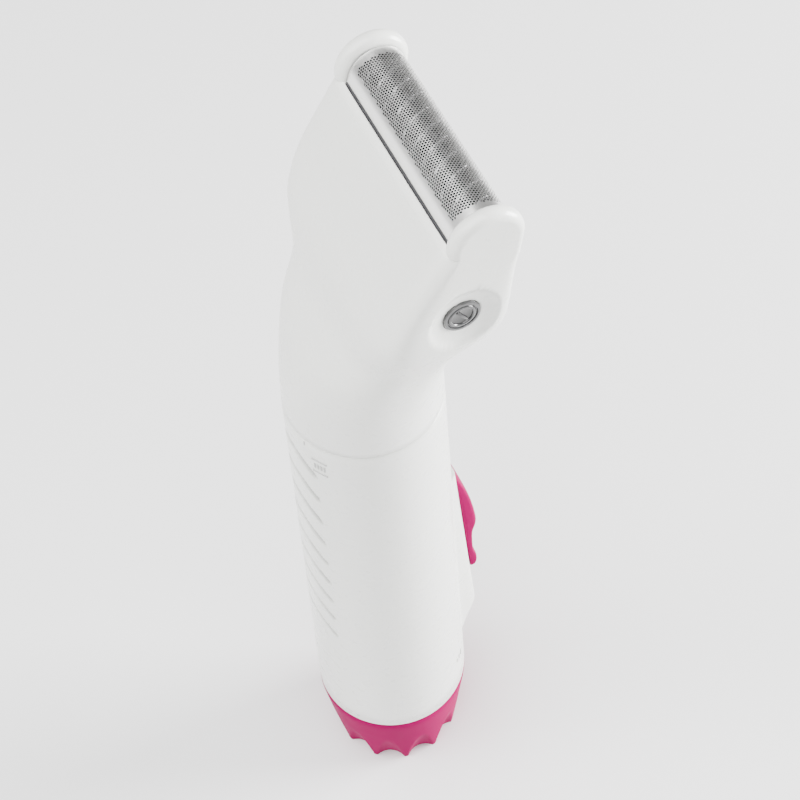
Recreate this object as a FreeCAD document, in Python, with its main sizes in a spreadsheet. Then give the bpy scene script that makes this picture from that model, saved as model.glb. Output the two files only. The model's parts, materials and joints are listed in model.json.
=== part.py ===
import FreeCAD, Part
import math
import os
import Sketcher

V = FreeCAD.Vector
doc = FreeCAD.newDocument("fabric_shaver")

# ---------------------------------------------------------------- driving dimensions (mm, degrees)
DIMS = {
    # handle and cap
    "wall": 1.8, "cap_rim_z": 26.3, "cap_rim_r": 18.0, "seam_z": 147.1, "seam_r": 16.2, "joint_gap": 0.3,
    "cap_foot_r": 15.3, "cap_floor": 2.2, "cap_well_r": 11.6, "cap_neck_r": 14.6, "cap_neck_top": 33.2,
    "flute_count": 12, "flute_phase": 119.2, "flute_r": 4.6, "flute_depth": 2.3, "flute_tilt": 15.0,
    # cells and contacts
    "cell_r": 12.9, "cell_can": 48.5, "cell_nub": 1.5, "cell_z": 14.5, "liner_r": 14.2, "bulkhead_z": 115.4,
    "bulkhead_thick": 3.0, "pin_r": 1.5, "ring_pin_x": 9.0, "pin_top": 122.9,
    # slide switch
    "slider_half": 5.0, "housing_half": 7.6,
    # head
    "head_z": 147.4, "spigot_r": 13.2, "spigot_z": 124.0, "flange_z": 149.0,
    "cutter_y": -16.3, "cutter_z": 211.0, "lean": 16.0, "head_half": 24.1, "cheek_face": 20.6, "rim_r": 7.1,
    # foil and cutter
    "foil_r": 5.47, "foil_thick": 0.15, "foil_half": 20.3, "skirt": 1.7, "drum_r": 4.95, "core_r": 2.6,
    "shaft_r": 1.2, "blade_thick": 0.6, "blade_count": 4,
    "blade_turns": 2.4, "blade_steps": 24, "blade_root": 0.4, "drum_start": -18.6, "drum_end": 16.8,
    # gears
    "gear_module": 0.5, "pinion_teeth": 10, "idler_a_teeth": 23, "idler_b_pinion": 10, "idler_b_teeth": 17,
    "cutter_teeth": 16,
    "gear_x": 11.5, "gear_face": 1.8, "gear_b_face": 7.4, "gear_b_hub": 2.0, "axle_r": 1.0,
    # motor
    "motor_r": 10.0, "motor_flat": 7.7,
    # release buttons
    "button_y": -11.3, "button_z": 193.0, "button_r": 3.6,
}

sheet = doc.addObject("Spreadsheet::Sheet", "dims")
for row, (alias, value) in enumerate(DIMS.items(), start=1):
    sheet.set("A%d" % row, alias)
    sheet.set("B%d" % row, str(value))
    sheet.setAlias("B%d" % row, alias)
doc.recompute()


def val(alias):
    return float(getattr(sheet, alias))


# ---------------------------------------------------------------- helpers
TURN = {"Z": FreeCAD.Rotation(), "X": FreeCAD.Rotation(V(0, 1, 0), 90), "Y": FreeCAD.Rotation(V(1, 0, 0), -90)}


def size(obj, **bindings):
    """Bind properties of an object to expressions, or set them when they are numbers."""
    for prop, expr in bindings.items():
        if isinstance(expr, str):
            obj.setExpression(prop, expr)
        else:
            setattr(obj, prop, expr)


def place(obj, at, turn=None):
    """Place an object; each coordinate is a number or an expression."""
    obj.Placement = FreeCAD.Placement(V(0, 0, 0), turn or FreeCAD.Rotation())
    for axis, expr in zip("xyz", at):
        obj.setExpression("Placement.Base.%s" % axis, str(expr))
    return obj


def free_place(obj, base, turn):
    """Place an object by plain numbers where it is turned about the handle."""
    for axis in "xyz":
        obj.setExpression("Placement.Base.%s" % axis, None)
    obj.Placement = FreeCAD.Placement(base, turn)


def cylinder(name, radius, height, at=(0, 0, 0), along="Z", angle=360):
    obj = doc.addObject("Part::Cylinder", name)
    size(obj, Radius=radius, Height=height, Angle=angle)
    return place(obj, at, TURN[along])


def cone(name, radius1, radius2, height, at=(0, 0, 0), along="Z"):
    obj = doc.addObject("Part::Cone", name)
    size(obj, Radius1=radius1, Radius2=radius2, Height=height)
    return place(obj, at, TURN[along])


def box(name, length, width, height, at, turn=None):
    obj = doc.addObject("Part::Box", name)
    size(obj, Length=length, Width=width, Height=height)
    return place(obj, at, turn)


def fuse(name, *objs):
    obj = doc.addObject("Part::MultiFuse", name)
    obj.Shapes = list(objs)
    return obj


def cut(name, base, *tools):
    obj = doc.addObject("Part::Cut", name)
    obj.Base = base
    obj.Tool = tools[0] if len(tools) == 1 else fuse(name + "_tools", *tools)
    return obj


def common(name, *objs):
    obj = doc.addObject("Part::MultiCommon", name)
    obj.Shapes = list(objs)
    return obj


def tube(name, outer, inner, height, at, along="Z"):
    return cut(name, cylinder(name + "_outer", outer, height, at, along),
               cylinder(name + "_bore", inner, height, at, along))


def feature(name, shape, placement=None):
    obj = doc.addObject("Part::Feature", name)
    obj.Shape = shape
    obj.Placement = placement or FreeCAD.Placement()
    return obj


def mesh_distance(teeth_a, teeth_b):
    """Centre distance of two gears in mesh."""
    return val("gear_module") * (val(teeth_a) + val(teeth_b)) / 2


def lean_point(along, across=0.0):
    """A (y, z) point measured along and across the leaning centre line of the head from the cutter axis."""
    a = math.radians(val("lean"))
    y = val("cutter_y") - along * math.sin(a) + across * math.cos(a)
    z = val("cutter_z") + along * math.cos(a) + across * math.sin(a)
    return y, z


def lean_box(name, x0, x1, across0, across1, along0, along1):
    """A box in the leaning frame of the head."""
    obj = doc.addObject("Part::Box", name)
    obj.Length = x1 - x0
    obj.Width = across1 - across0
    obj.Height = along1 - along0
    y, z = lean_point(along0, across0)
    obj.Placement = FreeCAD.Placement(V(x0, y, z), FreeCAD.Rotation(V(1, 0, 0), val("lean")))
    return obj


def sketch_loop(body, plane, points):
    """A closed sketch of straight sides on an origin plane; each corner is bound to two expressions."""
    sketch = body.newObject("Sketcher::SketchObject", body.Name + "_sketch")
    support = next(f for f in body.Origin.OriginFeatures if f.Role == plane)
    sketch.AttachmentSupport = [(support, "")]
    sketch.MapMode = "FlatFace"
    values = [tuple(sheet_value(e) for e in point) for point in points]
    count = len(points)
    for i in range(count):
        a, b = values[i], values[(i + 1) % count]
        sketch.addGeometry(Part.LineSegment(V(a[0], a[1], 0), V(b[0], b[1], 0)), False)
    for i in range(count):
        sketch.addConstraint(Sketcher.Constraint("Coincident", i, 2, (i + 1) % count, 1))
    for i, (point, value) in enumerate(zip(points, values)):
        for kind, axis, expr, number in (("DistanceX", -2, point[0], value[0]),
                                         ("DistanceY", -1, point[1], value[1])):
            if abs(number) < 1e-9:
                sketch.addConstraint(Sketcher.Constraint("PointOnObject", i, 1, axis))
            else:
                index = sketch.addConstraint(Sketcher.Constraint(kind, -1, 1, i, 1, number))
                sketch.setExpression("Constraints[%d]" % index, str(expr))
    return sketch


def sheet_value(expr):
    """The number an expression of sheet aliases stands for."""
    if not isinstance(expr, str):
        return float(expr)
    probe = doc.addObject("App::FeaturePython", "probe")
    probe.addProperty("App::PropertyFloat", "number")
    probe.setExpression("number", expr)
    probe.recompute()
    number = float(probe.number)
    doc.removeObject(probe.Name)
    return number


def revolved(name, profile):
    """A body revolved about its own Z axis from (radius, height) corners."""
    body = doc.addObject("PartDesign::Body", name)
    sketch = sketch_loop(body, "XZ_Plane", profile)
    turn = body.newObject("PartDesign::Revolution", name + "_revolution")
    turn.Profile = sketch
    turn.ReferenceAxis = (sketch, ["V_Axis"])
    turn.Angle = 360
    body.Tip = turn
    return body


def padded(name, plane, outline, length, midplane=False):
    """A body padded from straight-sided corners on one of its origin planes."""
    body = doc.addObject("PartDesign::Body", name)
    sketch = sketch_loop(body, plane, outline)
    pad = body.newObject("PartDesign::Pad", name + "_pad")
    pad.Profile = sketch
    size(pad, Length=length)
    pad.Midplane = midplane
    body.Tip = pad
    return body


def superellipse(half_x, y0, y1, power, z, count=40):
    """A closed smooth wire, from a circle at power 2 to a rounded rectangle at higher powers."""
    points = []
    for i in range(count):
        a = 2 * math.pi * i / count
        c, s = math.cos(a), math.sin(a)
        x = half_x * math.copysign(abs(c) ** (2 / power), c)
        y = 0.5 * (y0 + y1) + 0.5 * (y1 - y0) * math.copysign(abs(s) ** (2 / power), s)
        points.append(V(x, y, z))
    curve = Part.BSplineCurve()
    curve.interpolate(points, PeriodicFlag=True)
    return Part.Wire([curve.toShape()])


def gear_face(teeth, phase, bore):
    """An involute spur gear outline with a round bore, in its own XY plane."""
    m = val("gear_module")
    pitch, tip, root = m * teeth / 2, m * (teeth / 2 + 0.85), m * (teeth / 2 - 1.15)
    base = pitch * math.cos(math.radians(20))
    half = math.pi / (2 * teeth) - 0.035 / pitch

    def involute(radius):
        t = math.sqrt(max((radius / base) ** 2 - 1, 0))
        return t - math.atan(t)

    points = []
    start = max(base, root)
    for k in range(teeth):
        centre = phase + 2 * math.pi * k / teeth
        flank = []
        for j in range(5):
            radius = start + (tip - start) * j / 4
            flank.append((radius, half + involute(pitch) - involute(radius)))
        foot = [(root, flank[0][1] + (0.0 if root > base else 0.01))] if root < start else []
        for radius, angle in foot + flank:
            points.append(V(radius * math.cos(centre - angle), radius * math.sin(centre - angle), 0))
        for radius, angle in reversed(foot + flank):
            points.append(V(radius * math.cos(centre + angle), radius * math.sin(centre + angle), 0))
    outline = Part.Wire(Part.makePolygon(points + [points[0]]))
    hole = Part.Wire([Part.makeCircle(bore)])
    return Part.makeFace([outline, hole], "Part::FaceMakerBullseye")


PARTS = []


def keep(obj, label):
    obj.Label = label
    PARTS.append(obj)
    return obj


# ---------------------------------------------------------------- handle shell
TAPER = "(dims.cap_rim_r - dims.seam_r) / (dims.seam_z - dims.cap_rim_z)"


def handle_radius(z):
    """Outside radius of the handle at a height, as an expression."""
    return "(dims.cap_rim_r - %s * (%s - dims.cap_rim_z))" % (TAPER, z)


shell_profile = [
    (handle_radius("dims.cap_rim_z"), "dims.cap_rim_z + dims.joint_gap / 2"),
    (handle_radius("dims.seam_z"), "dims.seam_z"),
    (handle_radius("dims.seam_z") + " - dims.wall", "dims.seam_z"),
    (handle_radius("dims.cap_rim_z") + " - dims.wall", "dims.cap_rim_z + dims.joint_gap / 2"),
]
handle_tube = revolved("handle_tube", shell_profile)
switch_slot = box("switch_slot", 6.8, 6, 25.4, (-3.4, -19, 62))
grips = []
for i in range(9):
    groove = doc.addObject("Part::Torus", "grip_groove_%d" % i)
    rise = 67 + 8.55 * i
    size(groove, Radius1=handle_radius(str(rise)) + " + 0.55", Radius2=1.0, Angle3=56)
    groove.Placement = FreeCAD.Placement(V(0, 0, rise), FreeCAD.Rotation(V(0, 0, 1), 62))
    grips.append(groove)
keep(cut("handle_shell", handle_tube, switch_slot, *grips), "handle_shell")

# lock rings fixed inside both ends of the handle
def lock_ring(name, inner, outer, z, height, notch_turn):
    ring = tube(name + "_ring", outer, inner, height, (0, 0, z))
    notches = []
    for i in range(3):
        notch = box("%s_notch_%d" % (name, i), 4, 7, height + 2, (0, 0, z - 1))
        turn = FreeCAD.Rotation(V(0, 0, 1), notch_turn + 120 * i)
        free_place(notch, turn.multVec(V(inner - 1, -3.5, 0)) + V(0, 0, z - 1), turn)
        notches.append(notch)
    slab = cylinder(name + "_limit", outer - 0.6, height + 2, (0, 0, z - 1))
    return cut(name, ring, common(name + "_gates", fuse(name + "_boxes", *notches), slab))


keep(lock_ring("cap_lock_ring", 15.0, 16.1, 28.0, 2.4, 50), "cap_lock_ring")
keep(lock_ring("head_lock_ring", 13.5, 14.5, 137.5, 2.4, 110), "head_lock_ring")

# ---------------------------------------------------------------- battery cap
cap_cup = revolved("cap_cup", [
    (0, 0), ("dims.cap_foot_r - 1.2", 0), ("dims.cap_foot_r", 1.2),
    ("dims.cap_rim_r - 0.25", "dims.cap_rim_z - 4"), ("dims.cap_rim_r", "dims.cap_rim_z - dims.joint_gap / 2"),
    ("dims.cap_neck_r", "dims.cap_rim_z - dims.joint_gap / 2"), ("dims.cap_neck_r", "dims.cap_neck_top"),
    ("dims.liner_r - 0.85", "dims.cap_neck_top"), ("dims.liner_r - 0.85", "dims.cell_z - 0.5"),
    ("dims.cap_well_r", "dims.cell_z - 2"), ("dims.cap_well_r", "dims.cap_floor"), (0, "dims.cap_floor"),
])
flutes = []
for i in range(int(val("flute_count"))):
    angle = 360.0 * i / val("flute_count") + val("flute_phase")
    reach = val("cap_foot_r") + val("flute_r") - val("flute_depth")
    below = 4.0
    flute = cylinder("flute_%d" % i, "dims.flute_r", 30)
    turn = FreeCAD.Rotation(V(0, 0, 1), angle)
    tilt = turn.multiply(FreeCAD.Rotation(V(0, 1, 0), val("flute_tilt")))
    foot = turn.multVec(V(reach - below * math.tan(math.radians(val("flute_tilt"))), 0, -below))
    free_place(flute, foot, tilt)
    flutes.append(flute)
lugs = []
for i in range(3):
    lug = tube("cap_lug_%d" % i, 15.7, 14.0, 1.8, (0, 0, 30.9))
    wedge = cylinder("cap_lug_wedge_%d" % i, 17, 1.8, (0, 0, 30.9), angle=20)
    free_place(wedge, V(0, 0, 30.9), FreeCAD.Rotation(V(0, 0, 1), 120 * i))
    lugs.append(common("cap_lug_piece_%d" % i, lug, wedge))
cap_fluted = cut("cap_fluted", cap_cup, *flutes)
keep(fuse("battery_cap", cap_fluted, *lugs), "battery_cap")
keep(tube("cap_seal", 16.0, 14.65, 1.1, (0, 0, "dims.cap_rim_z - dims.joint_gap / 2")), "cap_seal")

# coil spring on its contact plate, both held in the floor of the cap
keep(revolved("cap_contact_plate", [(0, "dims.cap_floor + 0.02"), (10.5, "dims.cap_floor + 0.02"),
                                    (10.5, "dims.cap_floor + 0.5"), (0, "dims.cap_floor + 0.5")]),
     "cap_contact_plate")


def coil(name, radius, wire, start, height, turns, turn):
    """A coil spring whose first and last turns lie flat."""
    helix = Part.makeHelix(height / turns, height, radius)
    path = Part.Wire(helix.Edges)
    first = path.Edges[0]
    tangent = first.tangentAt(first.FirstParameter)
    ring = Part.Wire([Part.makeCircle(wire, V(radius, 0, 0), tangent)])
    solid = path.makePipeShell([ring], True, True)
    return feature(name, solid, FreeCAD.Placement(start, turn))


keep(coil("battery_spring", 6.5, 0.45, V(0, 0, 3.3), 10.2, 4, FreeCAD.Rotation()), "battery_spring")

# ---------------------------------------------------------------- cells and contacts
for i, name in enumerate(("lower_cell", "upper_cell")):
    cell = revolved(name, [(0, 0), ("dims.cell_r - 0.8", 0), ("dims.cell_r", 0.8),
                           ("dims.cell_r", "dims.cell_can - 0.8"), ("dims.cell_r - 0.8", "dims.cell_can"),
                           (3.2, "dims.cell_can"), (3.2, "dims.cell_can + dims.cell_nub"),
                           (0, "dims.cell_can + dims.cell_nub")])
    cell.setExpression("Placement.Base.z", "dims.cell_z + %d * (dims.cell_can + dims.cell_nub)" % i)
    keep(cell, name)
keep(tube("battery_liner", "dims.liner_r", "dims.liner_r - 0.7", 80.0, (0, 0, 34.5)), "battery_liner")
keep(revolved("top_contact", [(0, "dims.bulkhead_z - 0.85"), (6, "dims.bulkhead_z - 0.85"),
                              (6, "dims.bulkhead_z - 0.05"), (0, "dims.bulkhead_z - 0.05")]), "top_contact")
pin_height = "dims.pin_top - dims.bulkhead_z"
centre_pin = cylinder("centre_pin_rod", "dims.pin_r", pin_height, (0, 0, "dims.bulkhead_z"))
ring_pin = cylinder("ring_pin_rod", "dims.pin_r", pin_height, ("dims.ring_pin_x", 0, "dims.bulkhead_z"))
bulkhead = cylinder("bulkhead_disc", 14.6, "dims.bulkhead_thick", (0, 0, "dims.bulkhead_z"))
strip_gap = box("strip_gap", 6.4, 3, 8, (-3.2, -16.6, 113))
pin_holes = [cylinder("pin_hole_%d" % i, "dims.pin_r", 6, (x, 0, 114)) for i, x in enumerate((0, "dims.ring_pin_x"))]
keep(cut("contact_carrier", bulkhead, strip_gap, *pin_holes), "contact_carrier")
keep(centre_pin, "centre_contact_pin")
keep(ring_pin, "ring_contact_pin")
strip_ring = tube("strip_ring", 14.65, 14.3, 82.0, (0, 0, 34.5))
strip_side = box("strip_side", 5, 4, 82.0, (-2.5, -16, 34.5))
keep(common("contact_strip", strip_ring, strip_side), "contact_strip")

# ---------------------------------------------------------------- slide switch
housing_block = padded("housing_block", "YZ_Plane", [(-13, 112), (-16.4, 112), (-20.6, 54), (-20.6, 51),
                                                     (-17.2, 43.5), (-13, 43.5)],
                       "2 * dims.housing_half", midplane=True)
housing_void = padded("housing_void", "YZ_Plane", [(-10, 98), (-16.2, 98), (-19.0, 59), (-19.0, 53),
                                                   (-10, 53)], "2 * dims.housing_half - 4", midplane=True)
housing_slot = box("housing_slot", 3.2, 6, 22, (-1.6, -23, 66))
handle_core = cone("handle_core", handle_radius("0"), handle_radius("160"), 160)
keep(cut("switch_housing", housing_block, housing_void, housing_slot, handle_core), "switch_housing")
slider_pad = padded("slider_pad", "YZ_Plane", [(-17.0, 106), (-17.3, 106), (-22.3, 87), (-22.3, 84),
                                               (-21.1, 81), (-21.1, 73), (-22.1, 70), (-22.1, 67),
                                               (-20.9, 64.5), (-20.15, 64.5)],
                    "2 * dims.slider_half", midplane=True)
slider_stem = box("slider_stem", 2.4, 5.4, 6, (-1.2, -22, 79))
keep(fuse("power_slider", slider_pad, slider_stem), "power_slider")
keep(box("carriage_block", 6.0, 0.9, 9, (-3, -16.6, 77.5)), "slider_carriage")
contact_a = box("contact_leaf_a", 3.6, 0.75, 5, (-1.8, -15.42, 63.5))
contact_b = box("contact_leaf_b", 3.6, 0.75, 5, (-1.8, -15.42, 70.5))
keep(fuse("switch_contacts", contact_a, contact_b), "switch_contacts")

# ---------------------------------------------------------------- head shell
# the gear axles and the motor stand on the leaning centre line, measured down from the cutter axis
IDLER_B = -mesh_distance("cutter_teeth", "idler_b_teeth")
IDLER_A = IDLER_B - mesh_distance("idler_b_pinion", "idler_a_teeth")
TRAIN = IDLER_A - mesh_distance("idler_a_teeth", "pinion_teeth")
STATIONS = [
    # height, front y, back y, half width, power
    (147.4, -16.2, 16.2, 16.2, 2.0),
    (158.0, -15.6, 15.2, 16.9, 2.1),
    (170.0, -17.2, 11.8, 19.4, 2.5),
    (181.0, -19.4, 6.8, 22.6, 3.2),
    (190.0, -20.8, 2.9, 23.9, 4.0),
    (200.0, -22.0, -3.0, 24.1, 4.5),
    (211.0, -23.2, -9.2, 24.1, 5.0),
]


def head_loft(inset, top):
    wires = []
    for z, front, back, half, power in STATIONS:
        if z <= top:
            wires.append(superellipse(half - inset, front + inset, back - inset, power, z))
    return Part.makeLoft(wires, True, False)


head_outer = feature("head_outer", head_loft(0, 215))
head_cavity = feature("head_cavity", head_loft(val("wall"), 201))
rim = cylinder("rim_disc", "dims.rim_r", "2 * dims.head_half", ("-dims.head_half", "dims.cutter_y", "dims.cutter_z"),
               "X")
rim_round = doc.addObject("Part::Fillet", "rim_round")
rim_round.Base = rim
doc.recompute()
rim_round.Edges = [(i + 1, 1.6, 1.6) for i, e in enumerate(rim.Shape.Edges)
                   if isinstance(e.Curve, Part.Circle)]
head_body = fuse("head_body", head_outer, rim_round)
foil_bay = lean_box("foil_bay", -val("cheek_face"), val("cheek_face"), -5.9, 5.9, -16, 20)
button_tools = []
for side in (1, -1):
    scoop = doc.addObject("Part::Sphere", "scoop_%d" % (side + 1))
    scoop.Radius = 19.8
    place(scoop, ("%d * (dims.head_half + 18.6)" % side, "dims.button_y", "dims.button_z"))
    at = ("%d * 20 - %d" % (side, 0 if side > 0 else 6), "dims.button_y", "dims.button_z")
    hole = cylinder("button_hole_%d" % (side + 1), "dims.button_r + 0.15", 6, at, "X")
    pocket = cylinder("bearing_pocket_%d" % (side + 1), 2.6, 2.2,
                      ("%d * 20.5 - %s" % (side, 0 if side > 0 else 2.2), "dims.cutter_y", "dims.cutter_z"), "X")
    button_tools += [scoop, hole, pocket]
axle_y, axle_z = lean_point(IDLER_B)
axle_pocket = cylinder("axle_pocket", "dims.axle_r", 1.5, (20, axle_y, axle_z), "X")
keep(cut("head_shell", head_body, head_cavity, foil_bay, axle_pocket, *button_tools), "head_shell")

# ---------------------------------------------------------------- head base: plug, flange and contacts
spigot = revolved("spigot", [
    (0, "dims.spigot_z"), ("dims.spigot_r", "dims.spigot_z"), ("dims.spigot_r", "dims.flange_z - 1.2"),
    (14.1, "dims.flange_z - 1.2"), (14.1, "dims.flange_z"), ("dims.spigot_r - 1.4", "dims.flange_z"),
    ("dims.spigot_r - 1.4", "dims.spigot_z + 1.6"), (0, "dims.spigot_z + 1.6")])
head_lugs = []
for i in range(3):
    ring = tube("head_lug_ring_%d" % i, 14.1, 13.0, 2.0, (0, 0, 135.2))
    wedge = cylinder("head_lug_wedge_%d" % i, 17, 2.0, (0, 0, 135.2), angle=22)
    free_place(wedge, V(0, 0, 135.2), FreeCAD.Rotation(V(0, 0, 1), 20 + 120 * i))
    head_lugs.append(common("head_lug_%d" % i, ring, wedge))
lead_holes = [cylinder("lead_hole_%d" % i, 0.75, 4, (x, 3, 123)) for i, x in enumerate((-10.5, -7.5))]
base_screw_holes = [cylinder("base_screw_hole_%d" % i, 0.62, 10, (x, 0, 144)) for i, x in enumerate((-12.5, 12.5))]
keep(cut("head_base", fuse("head_base_body", spigot, *head_lugs), *lead_holes, *base_screw_holes), "head_base")
keep(cylinder("contact_disc", 2.6, 0.75, (0, 0, "dims.spigot_z - 0.77")), "head_contact_disc")
keep(tube("contact_ring", 10.8, 7.2, 0.75, (0, 0, "dims.spigot_z - 0.77")), "head_contact_ring")

# ---------------------------------------------------------------- motor on its cradle
LEAN = FreeCAD.Rotation(V(1, 0, 0), val("lean"))
motor_y, motor_z = lean_point(TRAIN)


def at_motor(x):
    return (x, motor_y, motor_z)


def motor_stage(name, x0, x1, radius, flat, bore):
    """A round can with two flats, bored along its axis."""
    drum = cylinder(name + "_drum", radius, x1 - x0, at_motor(x0), "X")
    slab = lean_box(name + "_slab", x0, x1, -flat, flat, TRAIN - 12, TRAIN + 12)
    return cut(name, common(name + "_body", drum, slab), cylinder(name + "_bore", bore, 60, at_motor(-30), "X"))


can = motor_stage("can_body", -10.0, 10.0, val("motor_r"), val("motor_flat"), 1.7)
can_inside = common("can_inside", cylinder("can_room", 9.4, 19.3, at_motor(-10.0), "X"),
                    lean_box("can_room_slab", -10.0, 9.3, -7.1, 7.1, TRAIN - 12, TRAIN + 12))
face_holes = [cylinder("can_screw_hole_%d" % i, 0.8, 4, (8.7, y, z), "X")
              for i, (y, z) in enumerate(lean_point(TRAIN - 4.6, a) for a in (-3.8, 3.8))]
keep(cut("motor_can", can, can_inside, *face_holes), "motor_can")
end_cap = motor_stage("end_cap_body", -12.0, -10.02, val("motor_r") - 0.2, val("motor_flat") - 0.1, 1.7)
keep(end_cap, "motor_end_cap")
keep(fuse("motor_terminals", *[lean_box("terminal_tab_%d" % i, -14.2, -12.02, a - 0.25, a + 0.25, TRAIN - 7.5,
                                        TRAIN - 5.0) for i, a in enumerate((-3.0, 3.0))]), "motor_terminals")
rotor_drum = cylinder("rotor_drum", 5.6, 13.0, at_motor(-6.5), "X")
rotor_comm = cylinder("rotor_commutator", 2.4, 2.6, at_motor(-9.2), "X")
rotor_shaft = cylinder("rotor_shaft", 1.0, 26.2, at_motor(-12.6), "X")
keep(fuse("motor_rotor", rotor_drum, rotor_comm, rotor_shaft), "motor_rotor")
keep(tube("motor_bush", 1.68, 1.04, 0.9, at_motor(9.2), "X"), "motor_bush")
magnet_tube = cut("magnet_tube", cylinder("magnet_round", 7.05, 13.0, at_motor(-6.5), "X"),
                  cylinder("magnet_bore", 6.1, 15.0, at_motor(-7.5), "X"))
keep(cut("motor_magnets", magnet_tube, lean_box("magnet_gap", -8, 8, -9, 9, TRAIN - 2, TRAIN + 2)), "motor_magnets")

plate_body = fuse("plate_body", lean_box("plate_foot", 10.02, 11.0, -6.8, 6.8, TRAIN - 8.0, -19.0),
                  lean_box("plate_neck", 10.02, 11.0, -4.7, 4.7, -20.0, IDLER_B + 2.4))
plate_holes = [cylinder("plate_motor_hole", 3.2, 4, at_motor(9), "X")]
for name, along in (("a", IDLER_A), ("b", IDLER_B)):
    y, z = lean_point(along)
    plate_holes.append(cylinder("plate_axle_hole_" + name, "dims.axle_r", 4, (9, y, z), "X"))
screw_spots = [lean_point(TRAIN - 4.6, a) for a in (-3.8, 3.8)]
screw_holes = [cylinder("plate_screw_hole_%d" % i, 0.8, 4, (8.7, y, z), "X") for i, (y, z) in enumerate(screw_spots)]
keep(cut("gear_plate", plate_body, *plate_holes, *screw_holes), "gear_plate")
screws = []
for i, (y, z) in enumerate(screw_spots):
    screws.append(cylinder("motor_screw_head_%d" % i, 1.5, 1.2, (11.02, y, z), "X"))
    screws.append(cylinder("motor_screw_shank_%d" % i, 0.78, 1.6, (9.45, y, z), "X"))
keep(fuse("motor_screws", *screws), "motor_screws")

cradle_disc = cylinder("cradle_disc", 13.8, 1.4, (0, 0, "dims.flange_z + 0.02"))
cradle_walls = [box("cradle_wall_%d" % i, 2, 10.6, 31, (x, -10.8, 149.5)) for i, x in enumerate((-9, 7))]
cradle_rest = cylinder("cradle_rest", "dims.motor_r + 0.04", 40, at_motor(-20), "X")
cradle_screw_holes = [cylinder("cradle_hole_%d" % i, 0.62, 10, (x, 0, 144)) for i, x in enumerate((-12.5, 12.5))]
lead_gates = [cylinder("lead_gate_%d" % i, 0.9, 4, (x, 3, 148)) for i, x in enumerate((-10.5, -7.5))]
keep(cut("motor_cradle", fuse("cradle_body", cradle_disc, *cradle_walls), cradle_rest, *cradle_screw_holes,
         *lead_gates), "motor_cradle")
cradle_screws = []
for i, x in enumerate((-12.5, 12.5)):
    cradle_screws.append(cylinder("cradle_screw_head_%d" % i, 1.2, 1.0, (x, 0, 150.45)))
    cradle_screws.append(cylinder("cradle_screw_shank_%d" % i, 0.6, 6.0, (x, 0, 144.5)))
keep(fuse("cradle_screws", *cradle_screws), "cradle_screws")

# ---------------------------------------------------------------- gears, all on parallel axles across the head
OUTER_X = val("gear_x") + val("gear_b_face") - val("gear_face")
GEARS = [
    # name, teeth, place along the head, bore, first x
    ("motor_pinion", "pinion_teeth", TRAIN, 1.0, val("gear_x")),
    ("idler_gear_a", "idler_a_teeth", IDLER_A, 1.05, val("gear_x")),
    ("idler_b_small", "idler_b_pinion", IDLER_B, 1.05, val("gear_x")),
    ("idler_b_large", "idler_b_teeth", IDLER_B, 1.05, OUTER_X),
    ("cutter_gear", "cutter_teeth", 0.0, 1.2, OUTER_X),
]


def gear_train():
    """Each gear is turned so that its teeth stand in the gaps of the one below it."""
    along_angle = math.radians(90 + val("lean"))
    across = FreeCAD.Rotation(V(0, 1, 0), V(0, 0, 1), V(1, 0, 0), "XYZ")
    phase = along_angle
    previous = axle = None
    made = {}
    for name, teeth_alias, along, bore, x in GEARS:
        teeth = int(val(teeth_alias))
        if along == axle:
            phase = along_angle
        elif previous is not None:
            offset = (along_angle - phase) % (2 * math.pi / previous)
            phase = along_angle + math.pi + offset * previous / teeth + math.pi / teeth
        previous = teeth
        axle = along
        solid = gear_face(teeth, phase, bore).extrude(V(0, 0, val("gear_face")))
        made[name] = feature(name, solid, FreeCAD.Placement(V(x, *lean_point(along)), across))
    return made


gears = gear_train()
for name in ("motor_pinion", "idler_gear_a", "cutter_gear"):
    keep(gears[name], name)
hub_x = val("gear_x") + val("gear_face") - 0.2
hub = tube("idler_b_hub", "dims.gear_b_hub", 1.05, OUTER_X + 0.2 - hub_x, (hub_x, *lean_point(IDLER_B)), "X")
keep(fuse("idler_gear_b", gears["idler_b_small"], hub, gears["idler_b_large"]), "idler_gear_b")
for name, along, end in (("idler_axle_a", IDLER_A, 14.1), ("idler_axle_b", IDLER_B, 21.4)):
    y, z = lean_point(along)
    keep(cylinder(name, "dims.axle_r", end - 10.02, (10.02, y, z), "X"), name)

# ---------------------------------------------------------------- cutter and its bearings
AXIS = ("dims.cutter_y", "dims.cutter_z")
keep(cylinder("cutter_shaft", "dims.shaft_r", 44.4, (-22.2, *AXIS), "X"), "cutter_shaft")


def helical_blade(start_angle, length):
    """One blade as a loft through its section, which turns as it goes along the drum."""
    root, tip, half = val("core_r") - val("blade_root"), val("drum_r"), val("blade_thick") / 2
    corners = [(root, -half), (tip, -half), (tip, half), (root, half)]
    steps = int(val("blade_steps"))
    wires = []
    for j in range(steps + 1):
        a = start_angle + 2 * math.pi * val("blade_turns") * j / steps
        c, s = math.cos(a), math.sin(a)
        section = [V(r * c - t * s, r * s + t * c, length * j / steps) for r, t in corners]
        wires.append(Part.makePolygon(section + [section[0]]))
    return Part.makeLoft(wires, True, True)


def cutter_drum():
    """A hollow core with helical blades that grow out of it."""
    length = val("drum_end") - val("drum_start")
    count = int(val("blade_count"))
    solid = Part.makeCylinder(val("core_r"), length)
    for k in range(count):
        solid = solid.fuse(helical_blade(2 * math.pi * k / count, length))
    return solid.cut(Part.makeCylinder(val("shaft_r"), length))


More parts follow.
